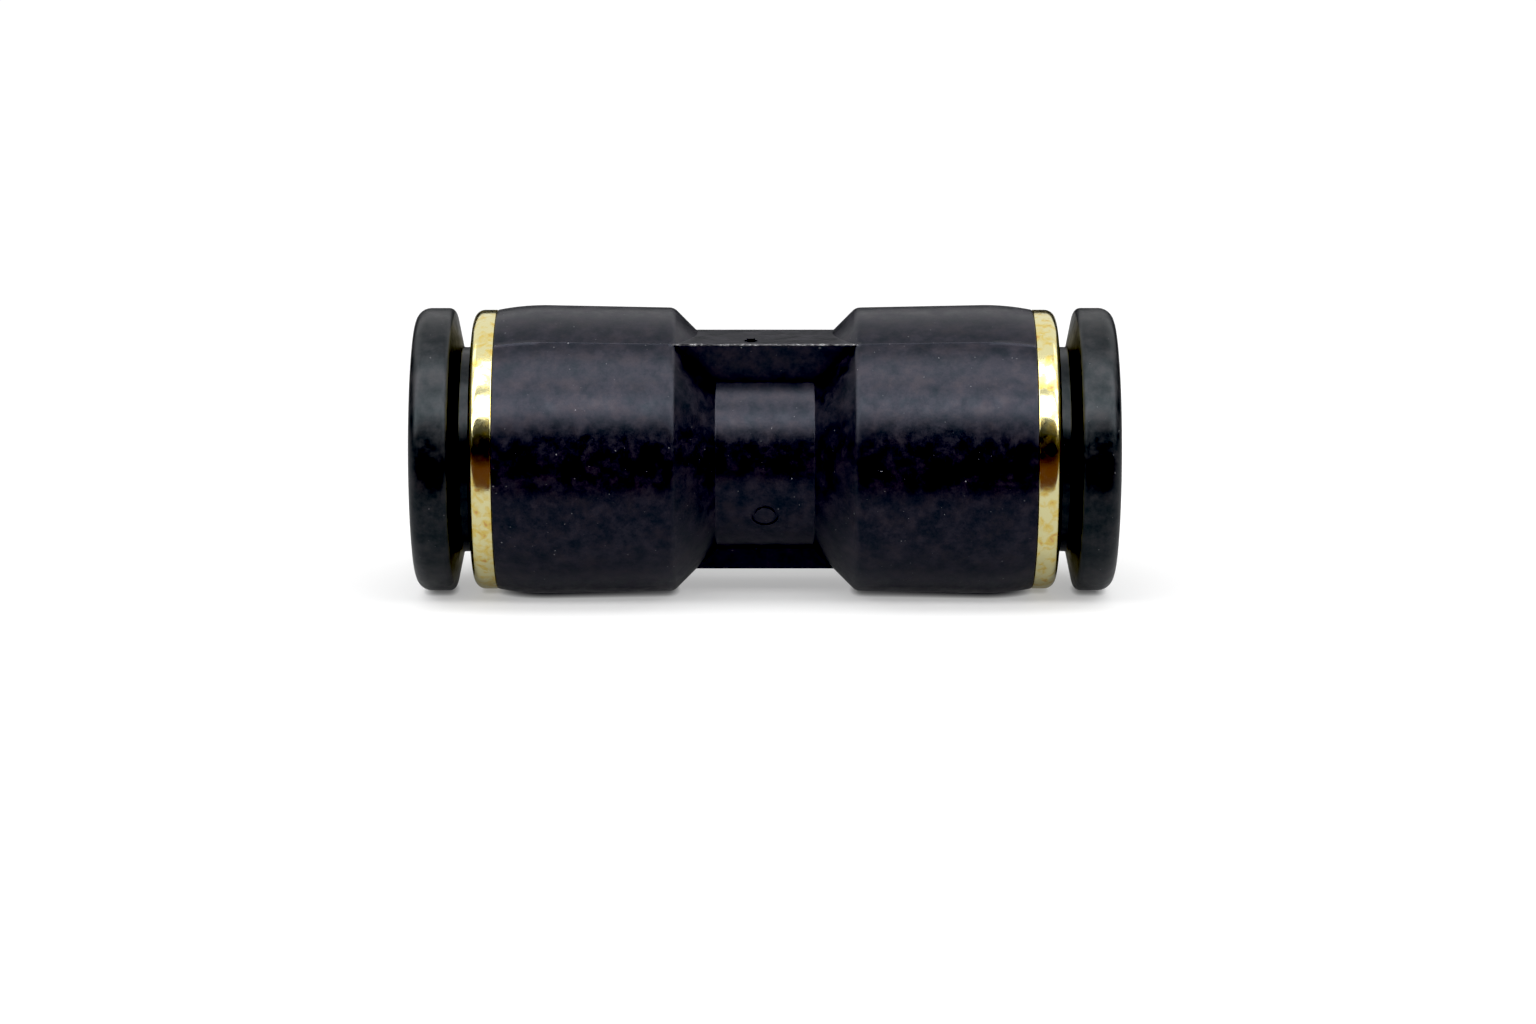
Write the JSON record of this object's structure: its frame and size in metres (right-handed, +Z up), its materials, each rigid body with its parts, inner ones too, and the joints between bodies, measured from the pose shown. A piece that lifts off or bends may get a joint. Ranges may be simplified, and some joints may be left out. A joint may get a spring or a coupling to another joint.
{
  "type": "push fit coupling",
  "caption": "Straight push fit tube coupling: a waisted black moulded body with a yellow metal ring and a sliding release collar at each end.",
  "frame": {"origin": "on the bore's axis, midway between the two ends, which is also the centre of the whole coupling", "axes": "+X along the bore towards the right port, +Z up and square to the flats on the waist, -Y the side that the reference view shows"},
  "size_m": [0.0502, 0.0208, 0.0208],
  "materials": {
    "body_plastic": "satin black moulded nylon or PBT",
    "collar_plastic": "satin black moulded acetal",
    "yellow_metal": "bright, pale yellow plated or passivated metal, slightly mottled",
    "spring_steel": "stamped stainless spring steel",
    "seal_rubber": "smooth black nitrile rubber",
    "spacer_plastic": "natural white acetal"
  },
  "bodies": {
    "body": {"body": "body_plastic", "left_o_ring": "seal_rubber", "left_seal_washer": "spacer_plastic", "left_grab_support": "spacer_plastic", "left_grab_ring": "spring_steel", "left_retaining_ring": "yellow_metal", "right_o_ring": "seal_rubber", "right_seal_washer": "spacer_plastic", "right_grab_support": "spacer_plastic", "right_grab_ring": "spring_steel", "right_retaining_ring": "yellow_metal"},
    "left_collar": {"left_release_collar": "collar_plastic"},
    "right_collar": {"right_release_collar": "collar_plastic"}
  },
  "joints": [
    {"name": "left_collar_slide", "type": "slide", "parent": "body", "child": "left_collar", "axis": [1, 0, 0], "range_m": [0, 0.0007], "stiffness_N_per_m": 100, "deforming": ["left_grab_ring"]},
    {"name": "right_collar_slide", "type": "slide", "parent": "body", "child": "right_collar", "axis": [-1, 0, 0], "range_m": [0, 0.0007], "stiffness_N_per_m": 100, "deforming": ["right_grab_ring"]}
  ]
}
